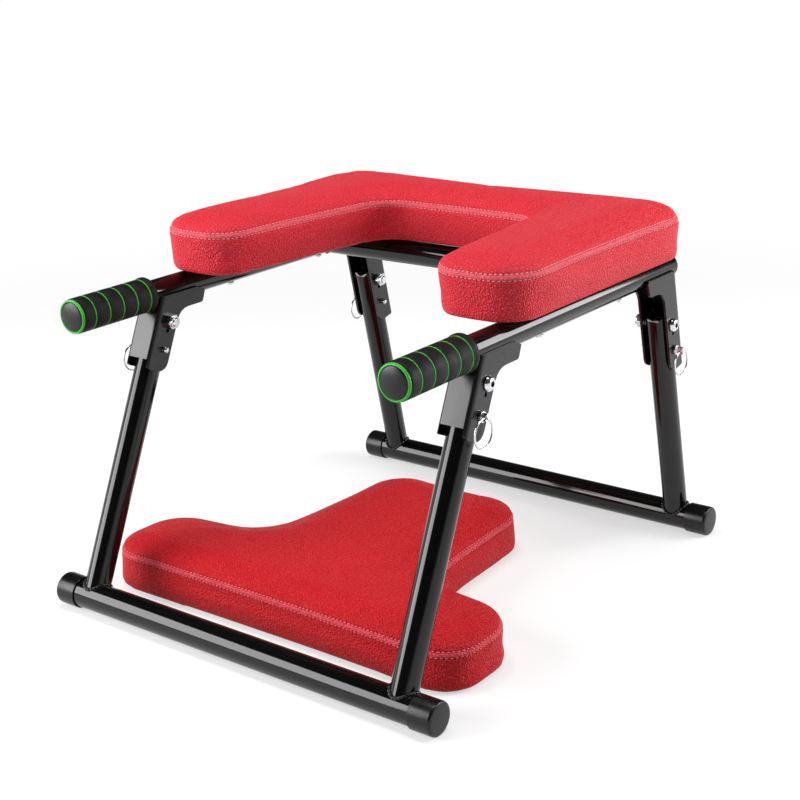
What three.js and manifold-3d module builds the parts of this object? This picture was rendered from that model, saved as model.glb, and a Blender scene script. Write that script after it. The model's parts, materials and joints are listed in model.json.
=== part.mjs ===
// A folding yoga headstand stool with its loose floor pad.
// Millimetres. X runs across the stool, Y from the handles to the back, Z up.
// The origin is on the floor, under the middle of the four feet.

import * as THREE from "three";
import { mergeVertices } from "three/addons/utils/BufferGeometryUtils.js";
import Module from "manifold-3d";

const wasm = await Module();
wasm.setup();

// Overall sizes
const footprintWidth = 450; // over the end caps of a floor tube
const footprintDepth = 520; // over the end caps, front to back
const stoolHeight = 364; // floor to the crown of the seat
const seatWidth = 430;
const seatDepth = 320;
const handleToSeatBack = 455; // tip of a handle to the back of the seat
const handleSetback = 17; // tip of a handle behind the front of the feet
const railSpacing = 370; // between the middles of the two rails

// Tubes
const railRadius = 12.5;
const crossTubeRadius = 12.5;
const legRadius = 12.5;
const floorTubeRadius = 14;
const tubeWall = 1.5;

// Clearances
const fitGap = 0.3; // between pieces that rest on or in each other
const runningGap = 2.5; // between a folded front leg and the rail above it
const cutOverrun = 5; // how far a cutting solid runs past what it cuts
const weldTolerance = 0.001; // vertices closer than this are one

// Leg pivots and brackets
const handleToFrontPivot = 110; // tip of a handle to the front pivots
const rearPivotInset = 17; // rear pivots in front of the seat's back
const rearPivotStep = 29; // rear pivots below the front ones, so that the frames stack
const bracketSheet = 2.4;
const bracketBend = 4.4; // outer radius of the sheet's bends
const bracketReach = 53; // pivot to the tip of the gusset, along the rail
const bracketTipHeight = 16.5;
const bracketTipRake = 6;
const bracketTipRound = 4;
const bracketThroat = 17; // radius of the curve under the gusset
const bracketLip = 10.5; // leg's middle line to the flange's free edge
const bracketHeel = 22; // lock pin to the flange's lower end
const bracketHeelRound = 11;
const webLift = 9; // web's lower end above the flange's
const flangeTopDrop = 2; // flange's top below the rail's middle
const legWebGap = 1.5;
const spareHoleDrop = 9.5; // pivot to the spare hole below it
const spareHoleRadius = 2.2;

// Pivot bolts, sleeves and nuts
const boltRadius = 4;
const boltHeadRadius = 7;
const boltHeadHeight = 4.4;
const boltSocketRadius = 2.9;
const boltSocketDepth = 2.6;
const boltTail = 1.5; // bolt standing out of its nut
const nutRadius = 7.5; // to the corners
const nutHeight = 6;
const nutCollarRadius = 5.6;
const nutCollarHeight = 2;
const sleeveWall = 1.4;

// Lock pins and pull rings
const pinRadius = 3;
const pinDrop = 28; // pivot to lock pin, along the leg
const pinCollarRadius = 5;
const pinCollarHeight = 2.5;
const pinTipLength = 6;
const pinTipRound = 1.4;
const lugWidth = 7;
const lugThickness = 3;
const lugLength = 7;
const lugHoleRadius = 1.5;
const ringRadius = 13; // to the middle of the wire
const ringWireRadius = 0.9;
const ringHangAngles = { front: 0.42, rear: 0.2 }; // radians from straight down, towards the web

// Grips
const gripLength = 96.5;
const gripRadius = 17;
const gripBandCount = 5;
const gripBandPitch = 17.5;
const gripBandWidth = 1.4;
const gripBandDepth = 0.6;
const gripEdgeRound = 1.5;
const endRingWidth = 2.2;
const endRingRadius = 16.2;
const endPlugRadius = 13.9;
const endPlugBulge = 1.6;
const endPlugStem = 14;

// End caps of the floor tubes and plugs of the rails
const capWall = 1.2;
const capLength = 24;
const capEnd = 3;
const capRound = 2.5;
const railRearInset = 5; // rail's rear end in front of the seat's back
const railPlugDome = 5;
const railPlugStem = 12;

// Cross tube
const crossTubeInset = 87; // in front of the seat's back

// Seat
const seatThickness = 56;
const boardThickness = 8;
const boardInset = 14; // board's edge inside the cushion's edge
const notchFrontWidth = 236;
const notchBackWidth = 184;
const notchDepth = 220;
const seatOuterRound = 42;
const armInnerRound = 36;
const notchRound = 30;

// Seat screws
const screwRadius = 2;
const screwHeadRadius = 4;
const screwHeadHeight = 2.4;
const screwBite = 5; // screw's length inside the board
const frontScrewSetback = 78; // behind the seat's front edge
const rearScrewInset = 102; // in front of the seat's back

// Floor pad
const floorPadWidth = 432;
const floorPadDepth = 319;
const floorPadHeight = 52;
const floorPadGap = 34.8; // front floor tube to the pad
const floorPadShift = -9; // pad lies a little to one side
const floorWingDepth = 103;
const floorWingSlope = 14; // wing's back edge comes forward by this towards its tip
const floorLobeBase = 201;
const floorLobeTip = 176;
const floorFrontRound = 38;
const floorWingRound = 46;
const floorThroatRound = 48;
const floorLobeRound = 44;
const floorBaseThickness = 3;
const floorBaseInset = 12;

// Facets round a tube, a small turned piece, a drilled hole, a pull ring and its wire, and steps of a
// cushion's corner and edge, of a plate's corner and of a sheet's bend
const tubeSides = 24;
const smallSides = 16;
const holeSides = 12;
const cornerSteps = 5;
const plateSteps = 4;
const bendSteps = 4;
const ringSides = 20;
const wireSides = 5;
const edgeSteps = 3;

// Tightest corner that a moved outline keeps
const tightestRound = 2;

// How far a cushion's edge pulls in between its corners, as a share of the edge's length
const edgeDrawInShare = 0.008;

// Cushion profiles from the underside to the crown: how far each ring lies inside the outline, in
// millimetres, and its height as a share of the cushion's.
const seatProfile = [
  { inset: 10, heightShare: 0 },
  { inset: 5.5, heightShare: 0.025 },
  { inset: 3.4, heightShare: 0.08 },
  { inset: 2, heightShare: 0.24 },
  { inset: 0.4, heightShare: 0.64 },
  { inset: 0, heightShare: 0.74 },
  { inset: 2.2, heightShare: 0.84 },
  { inset: 6.5, heightShare: 0.905 },
  { inset: 14, heightShare: 0.95 },
  { inset: 25, heightShare: 0.98 },
  { inset: 40, heightShare: 1 },
];
const floorProfile = [
  { inset: 6, heightShare: 0 },
  { inset: 2.4, heightShare: 0.03 },
  { inset: 0.8, heightShare: 0.1 },
  { inset: 0, heightShare: 0.3 },
  { inset: 0.6, heightShare: 0.68 },
  { inset: 1.4, heightShare: 0.76 },
  { inset: 3.6, heightShare: 0.85 },
  { inset: 8, heightShare: 0.91 },
  { inset: 15, heightShare: 0.95 },
  { inset: 25, heightShare: 0.98 },
  { inset: 36, heightShare: 1 },
];

// Derived places
const handleTipY = handleSetback - footprintDepth / 2;
const seatBackY = handleTipY + handleToSeatBack;
const seatFrontY = seatBackY - seatDepth;
const seatBottomZ = stoolHeight - seatThickness;
const railX = railSpacing / 2;
const railZ = seatBottomZ - fitGap - railRadius;
const railRearY = seatBackY - railRearInset;
const capRadius = floorTubeRadius + fitGap + capWall;
const floorTubeZ = capRadius;
const floorTubeY = footprintDepth / 2 - capRadius;
const frontPivotZ = railZ - railRadius - runningGap - legRadius;
const channelInner = railRadius + fitGap; // half the width inside a bracket
const channelOuter = channelInner + bracketSheet;
const webInner = legRadius + legWebGap;
const webOuter = webInner + bracketSheet;
const pinHoleRadius = pinRadius + fitGap;
const sleeveRadius = boltRadius + fitGap + sleeveWall;
const quarterTurn = Math.PI / 2;
const fullTurn = Math.PI * 2;

const ends = ["front", "rear"].map((name) => {
  const sign = name === "front" ? 1 : -1; // the way from this end to the middle of the stool
  const y = name === "front" ? handleTipY + handleToFrontPivot : seatBackY - rearPivotInset;
  const z = name === "front" ? frontPivotZ : frontPivotZ - rearPivotStep;
  const outward = floorTubeY + sign * y; // foot outside the pivot
  const down = z - floorTubeZ;
  return { name, sign, y, z, lean: Math.atan2(outward, down), legLength: Math.hypot(outward, down) };
});
const sides = [
  { name: "left", sign: -1 },
  { name: "right", sign: 1 },
];

function standardMaterial(color, roughness, metalness) {
  return new THREE.MeshStandardMaterial({ color, roughness, metalness });
}

const paint = () => standardMaterial(0x0c0c0d, 0.22, 0.35);
const bracketPaint = () => standardMaterial(0x1b1b1c, 0.38, 0.35);
const blackPlastic = () => standardMaterial(0x121213, 0.45, 0);
const foam = () => standardMaterial(0x161616, 0.88, 0);
const greenRubber = () => standardMaterial(0x2ea836, 0.5, 0);
const steel = () => standardMaterial(0xc4c7cb, 0.25, 1);
const redLeather = () => standardMaterial(0xdf3a49, 0.55, 0);
const deepRedLeather = () => standardMaterial(0xc8202d, 0.55, 0);
const plywood = () => standardMaterial(0xb58a58, 0.8, 0);
const nonSlip = () => standardMaterial(0x1d1d1f, 0.9, 0);

// Solids and booleans

function solidOf(geometry) {
  const bare = new THREE.BufferGeometry();
  bare.setAttribute("position", geometry.getAttribute("position"));
  if (geometry.index) bare.setIndex(geometry.index);
  const merged = mergeVertices(bare, weldTolerance);
  return new wasm.Manifold(
    new wasm.Mesh({
      numProp: 3,
      vertProperties: merged.getAttribute("position").array,
      triVerts: new Uint32Array(merged.index.array),
    }),
  );
}

function geometryOf(solid) {
  const mesh = solid.getMesh();
  const geometry = new THREE.BufferGeometry();
  geometry.setAttribute("position", new THREE.BufferAttribute(mesh.vertProperties, 3));
  geometry.setIndex(new THREE.BufferAttribute(mesh.triVerts, 1));
  geometry.computeVertexNormals();
  return geometry;
}

function addPiece(group, name, material, solid) {
  const mesh = new THREE.Mesh(geometryOf(solid), material);
  mesh.name = name;
  group.add(mesh);
  return mesh;
}

// Turns a geometry made along +Z so that it runs along another axis.
function turnTo(axis, geometry) {
  if (axis === "x") geometry.rotateY(quarterTurn);
  if (axis === "y") geometry.rotateX(-quarterTurn);
  return geometry;
}

function rod(axis, radius, length, sideCount = tubeSides) {
  const bar = new THREE.CylinderGeometry(radius, radius, length, sideCount);
  return turnTo(axis, bar.rotateX(quarterTurn));
}

function extrude(shape, length, arcSteps) {
  const options = { depth: length, bevelEnabled: false, curveSegments: arcSteps / 2 };
  return new THREE.ExtrudeGeometry(shape, options);
}

// A tube from zero to its length along an axis.
function tube(axis, radius, length) {
  const ring = new THREE.Shape().absarc(0, 0, radius, 0, fullTurn);
  ring.holes.push(new THREE.Path().absarc(0, 0, radius - tubeWall, 0, fullTurn));
  return turnTo(axis, extrude(ring, length, tubeSides));
}

// A turned piece: its profile is closed, as [radius, place along the axis], and its axis is Z.
function turned(axis, profile, sideCount = tubeSides) {
  const points = profile.map(([r, along]) => new THREE.Vector2(r, along));
  if (THREE.ShapeUtils.area(points) < 0) points.reverse();
  const closed = points[0].x > 0 ? [...points, points[0].clone()] : points;
  return turnTo(axis, new THREE.LatheGeometry(closed, sideCount).rotateX(quarterTurn));
}

// A flat plate in the Y-Z plane, given by points [y, z], standing across X.
function sidePlate(points, width, arcSteps) {
  const shape = points instanceof THREE.Shape ? points : new THREE.Shape(points);
  const plate = extrude(shape, width, arcSteps).translate(0, 0, -width / 2);
  return plate.rotateY(quarterTurn).rotateX(quarterTurn);
}

// Rounded outlines. A corner is { x, y, round } and the corners run anticlockwise.

function cornerArc(before, corner, after, round, steps) {
  const back = before.clone().sub(corner).normalize();
  const ahead = after.clone().sub(corner).normalize();
  const half = Math.acos(THREE.MathUtils.clamp(back.dot(ahead), -1, 1)) / 2;
  const centre = back.clone().add(ahead).normalize().multiplyScalar(round / Math.sin(half)).add(corner);
  const start = back.clone().multiplyScalar(round / Math.tan(half)).add(corner).sub(centre);
  const end = ahead.clone().multiplyScalar(round / Math.tan(half)).add(corner).sub(centre);
  const sweep = Math.atan2(start.cross(end), start.dot(end));
  return Array.from({ length: steps + 1 }, (_, step) =>
    start.clone().rotateAround(new THREE.Vector2(), (sweep * step) / steps).add(centre),
  );
}

function insetCorner(before, corner, after, inset) {
  const normalIn = (from, to) => new THREE.Vector2(from.y - to.y, to.x - from.x).normalize();
  const first = normalIn(before, corner);
  const second = normalIn(corner, after);
  const miter = first.clone().add(second);
  return corner.clone().add(miter.multiplyScalar((2 * inset) / miter.lengthSq()));
}

// The outline moved inwards, with its corners rounded and, where edgeCount is given, its edges
// divided and pulled in between the corners.
function roundedOutline(corners, inset, steps, edgeCount = 1) {
  const spots = corners.map((c) => new THREE.Vector2(c.x, c.y));
  const pick = (list, i) => list[(i + list.length) % list.length];
  const moved = spots.map((s, i) => insetCorner(pick(spots, i - 1), s, pick(spots, i + 1), inset));
  const arcs = moved.map((spot, i) => {
    const into = spots[i].clone().sub(pick(spots, i - 1));
    const out = pick(spots, i + 1).clone().sub(spots[i]);
    const convex = into.cross(out) > 0;
    const round = convex ? Math.max(corners[i].round - inset, tightestRound) : corners[i].round + inset;
    return cornerArc(pick(moved, i - 1), spot, pick(moved, i + 1), round, steps);
  });
  return arcs.flatMap((arc, i) => {
    const from = arc[arc.length - 1];
    const to = pick(arcs, i + 1)[0];
    const across = new THREE.Vector2(from.y - to.y, to.x - from.x);
    const between = Array.from({ length: edgeCount - 1 }, (_, step) => {
      const share = (step + 1) / edgeCount;
      const pull = edgeDrawInShare * Math.sin(Math.PI * share);
      return from.clone().lerp(to, share).addScaledVector(across, pull);
    });
    return [...arc, ...between];
  });
}

// A closed solid through rings of equal counts, from the lowest to the highest.
function loft(rings) {
  const count = rings[0].length;
  const positions = rings.flat().flatMap((p) => [p.x, p.y, p.z]);
  const index = [];
  for (let ring = 0; ring < rings.length - 1; ring++) {
    for (let spot = 0; spot < count; spot++) {
      const a = ring * count + spot;
      const b = ring * count + ((spot + 1) % count);
      index.push(a, b, b + count, a, b + count, a + count);
    }
  }
  const top = (rings.length - 1) * count;
  for (const [a, b, c] of THREE.ShapeUtils.triangulateShape(rings[0], [])) index.push(a, c, b);
  for (const [a, b, c] of THREE.ShapeUtils.triangulateShape(rings[rings.length - 1], [])) {
    index.push(top + a, top + b, top + c);
  }
  const geometry = new THREE.BufferGeometry();
  geometry.setAttribute("position", new THREE.Float32BufferAttribute(positions, 3));
  geometry.setIndex(index);
  return geometry;
}

function cushion(corners, profile, bottom, height) {
  const rings = profile.map(({ inset, heightShare }) =>
    roundedOutline(corners, inset, cornerSteps, edgeSteps).map(
      (p) => new THREE.Vector3(p.x, p.y, bottom + heightShare * height),
    ),
  );
  return solidOf(loft(rings));
}

function flatBoard(corners, inset, thickness) {
  const outline = roundedOutline(corners, inset, cornerSteps, edgeSteps);
  return solidOf(extrude(new THREE.Shape(outline), thickness, plateSteps));
}

// Seat frame

function handleRail() {
  const length = railRearY - handleTipY - endPlugBulge - endRingWidth;
  const rail = solidOf(tube("y", railRadius, length).translate(railX, railRearY - length, railZ));
  return screwSpots().reduce((solid, spot) => solid.subtract(screwHole(spot)), rail);
}

function screwSpots() {
  return [
    { name: "front", y: seatFrontY + frontScrewSetback },
    { name: "rear", y: seatBackY - rearScrewInset },
  ];
}

function screwHole({ y }) {
  const length = 2 * (railRadius + screwBite + cutOverrun);
  return solidOf(rod("z", screwRadius + fitGap, length, holeSides).translate(railX, y, railZ));
}

function seatScrew({ y }) {
  const headTop = railZ - railRadius - fitGap;
  const tip = seatBottomZ + screwBite;
  const profile = [
    [0, headTop - screwHeadHeight],
    [screwHeadRadius - screwHeadHeight / 2, headTop - screwHeadHeight],
    [screwHeadRadius, headTop - screwHeadHeight / 2],
    [screwHeadRadius, headTop],
    [screwRadius, headTop],
    [screwRadius, tip - screwRadius],
    [0, tip],
  ];
  return solidOf(turned("z", profile, holeSides).translate(railX, y, 0));
}

function railRearPlug() {
  const mouth = railRadius - tubeWall - fitGap;
  const profile = [
    [0, -railPlugStem],
    [mouth, -railPlugStem],
    [mouth, fitGap],
    [railRadius, fitGap],
    [railRadius, railPlugDome / 3],
    [railRadius * 0.86, railPlugDome * 0.72],
    [railRadius * 0.55, railPlugDome * 0.94],
    [0, railPlugDome],
  ];
  return solidOf(turned("y", profile).translate(railX, railRearY, railZ));
}

// The foam sleeve, with a shallow groove for each coloured band.
function handleGrip() {
  const start = endPlugBulge + endRingWidth + fitGap;
  const bore = railRadius + fitGap;
  const grooves = Array.from({ length: gripBandCount }, (_, band) => {
    const middle = (band + 1) * gripBandPitch;
    const near = middle - gripBandWidth / 2;
    const far = middle + gripBandWidth / 2;
    const floor = gripRadius - gripBandDepth;
    return [
      [gripRadius, near],
      [floor, middle],
      [gripRadius, far],
    ];
  }).flat();
  const profile = [
    [bore, start],
    [gripRadius - gripEdgeRound, start],
    [gripRadius, start + gripEdgeRound],
    ...grooves,
    [gripRadius, gripLength - gripEdgeRound],
    [gripRadius - gripEdgeRound, gripLength],
    [bore, gripLength],
  ];
  return solidOf(turned("y", profile).translate(railX, handleTipY, railZ));
}

function gripEndRing() {
  const bore = endPlugRadius + fitGap;
  const edge = endRingWidth / 3;
  const profile = [
    [bore, 0],
    [endRingRadius - edge, 0],
    [endRingRadius, edge],
    [endRingRadius, endRingWidth],
    [bore, endRingWidth],
  ];
  return solidOf(turned("y", profile).translate(railX, handleTipY + endPlugBulge, railZ));
}

function gripEndPlug() {
  const mouth = railRadius - tubeWall - fitGap;
  const back = endPlugBulge + endRingWidth;
  const profile = [
    [0, 0],
    [endPlugRadius * 0.5, endPlugBulge * 0.2],
    [endPlugRadius * 0.88, endPlugBulge * 0.65],
    [endPlugRadius, endPlugBulge + fitGap],
    [endPlugRadius, back - fitGap],
    [mouth, back - fitGap],
    [mouth, back + endPlugStem],
    [0, back + endPlugStem],
  ];
  return solidOf(turned("y", profile).translate(railX, handleTipY, railZ));
}

function rearCrossTube() {
  const y = seatBackY - crossTubeInset;
  const span = tube("x", crossTubeRadius, railSpacing).translate(-railX, y, railZ);
  return sides.reduce((solid, side) => {
    const cope = rod("y", railRadius + fitGap, 4 * crossTubeRadius);
    return solid.subtract(solidOf(cope.translate(side.sign * railX, y, railZ)));
  }, solidOf(span));
}

// Brackets, seen from the pivot: Y towards the middle of the stool, Z up.

// A point `drop` down the leg from the pivot and `aside` towards the flange's free edge.
function alongLeg({ lean }, drop, aside) {
  const y = aside * Math.cos(lean) - drop * Math.sin(lean);
  const z = -aside * Math.sin(lean) - drop * Math.cos(lean);
  return new THREE.Vector2(y, z);
}

// The point of the line `aside` of the leg at height z.
function onLineAtHeight(end, aside, z) {
  const drop = -(z + aside * Math.sin(end.lean)) / Math.cos(end.lean);
  return alongLeg(end, drop, aside);
}

function flangeOutline(end) {
  const top = railZ - flangeTopDrop - end.z;
  const heel = pinDrop + bracketHeel;
  const tipLow = top - bracketTipHeight;
  const corners = [
    { spot: onLineAtHeight(end, -webOuter, top), round: bracketSheet },
    { spot: alongLeg(end, heel, -webOuter), round: bracketHeelRound / 2 },
    { spot: alongLeg(end, heel, bracketLip), round: bracketHeelRound },
    { spot: onLineAtHeight(end, bracketLip, tipLow), round: bracketThroat },
    { spot: new THREE.Vector2(bracketReach - bracketTipRake, tipLow), round: bracketTipRound },
    { spot: new THREE.Vector2(bracketReach, top), round: bracketSheet },
  ];
  return roundedOutline(
    corners.map(({ spot, round }) => ({ x: spot.x, y: spot.y, round })),
    0,
    plateSteps,
  );
}

// The folded sheet's section across the leg, open towards the middle of the stool.
function channelSection(depth) {
  const inBend = bracketBend - bracketSheet;
  const section = new THREE.Shape();
  section.moveTo(-channelOuter, depth);
  section.lineTo(-channelOuter, bracketBend);
  section.absarc(bracketBend - channelOuter, bracketBend, bracketBend, Math.PI, 3 * quarterTurn);
  section.absarc(channelOuter - bracketBend, bracketBend, bracketBend, 3 * quarterTurn, fullTurn);
  section.lineTo(channelOuter, depth);
  section.lineTo(channelInner, depth);
  section.absarc(channelInner - inBend, bracketBend, inBend, fullTurn, 3 * quarterTurn, true);
  section.absarc(inBend - channelInner, bracketBend, inBend, 3 * quarterTurn, Math.PI, true);
  section.lineTo(-channelInner, depth);
  return section;
}

// Turns a geometry made on the leg's own axes to the leg's lean.
function leaned(end, geometry) {
  return geometry.rotateX(-end.lean);
}

function bracket(end) {
  const above = railZ - end.z + railRadius;
  const below = pinDrop + bracketHeel + cutOverrun;
  const depth = webOuter + bracketReach + above;
  const folded = extrude(channelSection(depth), above + below, bendSteps);
  folded.translate(0, -webOuter, -below);
  const plate = sidePlate(flangeOutline(end), 2 * (channelOuter + cutOverrun), plateSteps);
  let solid = solidOf(leaned(end, folded)).intersect(solidOf(plate));
  const webCut = new THREE.BoxGeometry(2 * channelInner, 2 * bracketBend, 2 * below);
  webCut.translate(0, -webOuter, -(below + pinDrop + bracketHeel - webLift));
  solid = solid.subtract(solidOf(leaned(end, webCut)));
  const railCut = rod("y", railRadius + fitGap, 4 * depth).translate(0, 0, railZ - end.z);
  solid = solid.subtract(solidOf(railCut));
  const holes = [
    { drop: 0, radius: boltRadius + fitGap },
    { drop: spareHoleDrop, radius: spareHoleRadius },
    { drop: pinDrop, radius: pinHoleRadius },
  ];
  for (const { drop, radius } of holes) {
    const spot = alongLeg(end, drop, 0);
    const drill = rod("x", radius, 2 * (channelOuter + cutOverrun), holeSides);
    solid = solid.subtract(solidOf(drill.translate(0, spot.x, spot.y)));
  }
  return solid;
}

// Pivots. X points to the outer side of the stool.

function pivotBolt() {
  const seat = channelOuter + fitGap;
  const crown = seat + boltHeadHeight;
  const tail = -(channelOuter + nutHeight + nutCollarHeight + boltTail);
  const profile = [
    [0, tail],
    [boltRadius - boltTail / 2, tail],
    [boltRadius, tail + boltTail / 2],
    [boltRadius, seat],
    [boltHeadRadius, seat],
    [boltHeadRadius, seat + boltHeadHeight * 0.3],
    [boltHeadRadius * 0.86, seat + boltHeadHeight * 0.7],
    [boltHeadRadius * 0.6, crown],
    [0, crown],
  ];
  const socket = rod("x", boltSocketRadius, 2 * boltSocketDepth, 6).translate(crown, 0, 0);
  return solidOf(turned("x", profile, smallSides)).subtract(solidOf(socket));
}

function lockNut() {
  const seat = -(channelOuter + fitGap);
  const hex = rod("x", nutRadius, nutHeight, 6).translate(seat - nutHeight / 2, 0, 0);
  const collar = rod("x", nutCollarRadius, nutCollarHeight + fitGap, smallSides);
  collar.translate(seat - nutHeight - (nutCollarHeight - fitGap) / 2, 0, 0);
  const bore = rod("x", boltRadius + fitGap, 4 * channelOuter, holeSides).translate(seat, 0, 0);
  return solidOf(hex).add(solidOf(collar)).subtract(solidOf(bore));
}

function pivotSleeve() {
  const half = channelInner - fitGap;
  const profile = [
    [boltRadius + fitGap, -half],
    [sleeveRadius, -half],
    [sleeveRadius, half],
    [boltRadius + fitGap, half],
  ];
  return solidOf(turned("x", profile, smallSides));
}

// Locks. X points outwards, and the pin's middle line is the X axis.

function lockPin() {
  const seat = channelOuter + fitGap;
  const tip = -(channelOuter + pinTipLength);
  const profile = [
    [0, tip],
    [pinRadius - pinTipRound, tip],
    [pinRadius, tip + pinTipRound],
    [pinRadius, seat],
    [pinCollarRadius, seat],
    [pinCollarRadius, seat + pinCollarHeight],
    [0, seat + pinCollarHeight],
  ];
  const lug = new THREE.BoxGeometry(lugLength + fitGap, lugThickness, lugWidth);
  lug.translate(seat + pinCollarHeight + (lugLength - fitGap) / 2, 0, 0);
  const eye = rod("y", lugHoleRadius, 2 * lugThickness, holeSides);
  eye.translate(eyeX(), 0, 0);
  return solidOf(turned("x", profile, smallSides)).add(solidOf(lug)).subtract(solidOf(eye));
}

function eyeX() {
  return channelOuter + fitGap + pinCollarHeight + lugLength / 2;
}

// The wire hangs on the lower lip of the eye.
function pullRing() {
  const hang = lugHoleRadius - ringWireRadius - fitGap;
  const ring = new THREE.TorusGeometry(ringRadius, ringWireRadius, wireSides, ringSides);
  return solidOf(ring.rotateY(quarterTurn).translate(eyeX(), 0, -(ringRadius + hang)));
}

// Leg frames

// A leg on its own axes: the pivot is at the origin and the foot is straight below it.
function leg(end) {
  const topRound = legRadius + fitGap;
  const reach = end.legLength + topRound;
  const stem = tube("z", legRadius, reach).translate(0, 0, -end.legLength);
  const outline = new THREE.Shape();
  outline.moveTo(topRound, 0);
  outline.absarc(0, 0, topRound, 0, Math.PI);
  outline.lineTo(-topRound, -reach);
  outline.lineTo(topRound, -reach);
  const trimmed = solidOf(stem).intersect(solidOf(sidePlate(outline, 4 * legRadius, smallSides / 2)));
  const cope = rod("x", floorTubeRadius + fitGap, 4 * legRadius).translate(0, 0, -end.legLength);
  const pivotHole = rod("x", sleeveRadius + fitGap, 4 * legRadius, smallSides);
  return trimmed.subtract(solidOf(cope)).subtract(solidOf(pivotHole)).subtract(lockSlot());
}

// The lock pin's way through the leg: a round seat on the middle line, open towards the web along
// the arc that the pin follows when the leg swings.
function lockSlot() {
  const sweep = Math.asin((legRadius + 2 * pinHoleRadius) / pinDrop);
  const down = -quarterTurn;
  const slot = new THREE.Shape();
  slot.absarc(0, 0, pinDrop + pinHoleRadius, down, down - sweep, true);
  slot.absarc(0, 0, pinDrop - pinHoleRadius, down - sweep, down, false);
  slot.absarc(0, -pinDrop, pinHoleRadius, quarterTurn, down, true);
  return solidOf(sidePlate(slot, 4 * legRadius, plateSteps));
}

function floorTube() {
  const length = footprintWidth - 2 * (capEnd + fitGap);
  return solidOf(tube("x", floorTubeRadius, length).translate(-length / 2, 0, 0));
}

function endCap() {
  const bore = floorTubeRadius + fitGap;
  const profile = [
    [0, 0],
    [capRadius - capRound, 0],
    [capRadius - capRound * 0.3, -capRound * 0.3],
    [capRadius, -capRound],
    [capRadius, -capLength],
    [bore, -capLength],
    [bore, -capEnd],
    [0, -capEnd],
  ];
  return solidOf(turned("x", profile).translate(footprintWidth / 2, 0, 0));
}

// Seat

function seatCorners() {
  const half = seatWidth / 2;
  const notchBackY = seatFrontY + notchDepth;
  return [
    { x: half, y: seatFrontY, round: seatOuterRound },
    { x: half, y: seatBackY, round: seatOuterRound },
    { x: -half, y: seatBackY, round: seatOuterRound },
    { x: -half, y: seatFrontY, round: seatOuterRound },
    { x: -notchFrontWidth / 2, y: seatFrontY, round: armInnerRound },
    { x: -notchBackWidth / 2, y: notchBackY, round: notchRound },
    { x: notchBackWidth / 2, y: notchBackY, round: notchRound },
    { x: notchFrontWidth / 2, y: seatFrontY, round: armInnerRound },
  ];
}

function mirrorX(solid) {
  const geometry = geometryOf(solid).scale(-1, 1, 1);
  const index = geometry.index.array;
  for (let i = 0; i < index.length; i += 3) [index[i], index[i + 1]] = [index[i + 1], index[i]];
  return solidOf(geometry);
}

function seatBoard() {
  const board = flatBoard(seatCorners(), boardInset, boardThickness);
  const placed = solidOf(geometryOf(board).translate(0, 0, seatBottomZ));
  return screwSpots().reduce((solid, spot) => {
    const hole = screwHole(spot);
    return solid.subtract(hole).subtract(mirrorX(hole));
  }, placed);
}

function seatCushion() {
  const body = cushion(seatCorners(), seatProfile, seatBottomZ, seatThickness);
  const pocketHeight = boardThickness + fitGap + cutOverrun;
  const pocket = flatBoard(seatCorners(), boardInset - fitGap, pocketHeight);
  return body.subtract(solidOf(geometryOf(pocket).translate(0, 0, seatBottomZ - cutOverrun)));
}

// Floor pad

function floorPadCorners() {
  const front = -floorTubeY + floorTubeRadius + floorPadGap;
  const back = front + floorPadDepth;
  const half = floorPadWidth / 2;
  const wingBack = front + floorWingDepth;
  const right = [
    { x: half, y: front, round: floorFrontRound },
    { x: half, y: wingBack, round: floorWingRound },
    { x: floorLobeBase / 2, y: wingBack + floorWingSlope, round: floorThroatRound },
    { x: floorLobeTip / 2, y: back, round: floorLobeRound },
  ];
  const left = right.map((corner) => ({ ...corner, x: -corner.x })).reverse();
  return [...right, ...left].map((corner) => ({ ...corner, x: corner.x + floorPadShift }));
}

function floorPadBase() {
  return flatBoard(floorPadCorners(), floorBaseInset, floorBaseThickness);
}

function floorCushion() {
  const body = cushion(floorPadCorners(), floorProfile, 0, floorPadHeight);
  const pocketHeight = floorBaseThickness + fitGap + cutOverrun;
  const pocket = flatBoard(floorPadCorners(), floorBaseInset - fitGap, pocketHeight);
  return body.subtract(solidOf(geometryOf(pocket).translate(0, 0, -cutOverrun)));
}

// Assembly

function addSide(root, side) {
  const group = new THREE.Group();
  group.scale.x = side.sign;
  root.add(group);
  addPiece(group, `${side.name}_handle_rail`, paint(), handleRail());
  addPiece(group, `${side.name}_rail_rear_plug`, blackPlastic(), railRearPlug());
  addPiece(group, `${side.name}_handle_grip`, foam(), handleGrip());
  addPiece(group, `${side.name}_grip_end_ring`, greenRubber(), gripEndRing());
  addPiece(group, `${side.name}_grip_end_plug`, blackPlastic(), gripEndPlug());
  for (const spot of screwSpots()) {
    addPiece(group, `${spot.name}_${side.name}_seat_screw`, steel(), seatScrew(spot));
  }
  for (const end of ends) addCorner(group, end, `${end.name}_${side.name}`);
}

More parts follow.
